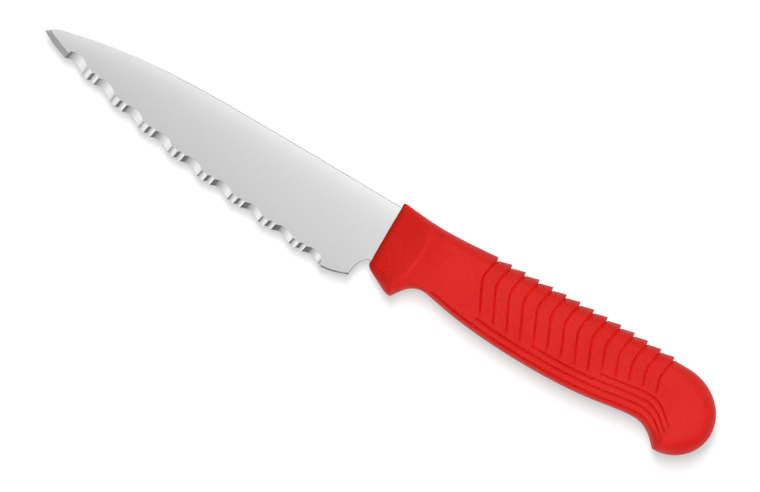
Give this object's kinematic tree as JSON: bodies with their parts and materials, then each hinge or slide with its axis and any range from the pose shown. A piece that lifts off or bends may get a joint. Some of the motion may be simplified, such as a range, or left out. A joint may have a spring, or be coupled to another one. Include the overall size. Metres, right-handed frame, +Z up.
{
  "type": "serrated utility knife",
  "caption": "Kitchen utility knife with a scalloped steel blade, ground from one side, and a one-piece red plastic handle with an overlapping-step grip, finger notch and hooked butt.",
  "frame": {"origin": "middle of the knife's outline, on the surface that it lies on", "axes": "+X from the blade's tip to the handle's butt, +Y from the edge to the spine, +Z up, out of the ground side of the edge"},
  "size_m": [0.2242, 0.0292, 0.015],
  "materials": {
    "steel": "satin",
    "red_plastic": "fine moulded grain"
  },
  "bodies": {
    "root": {"blade": "steel", "handle": "red_plastic"}
  },
  "joints": []
}
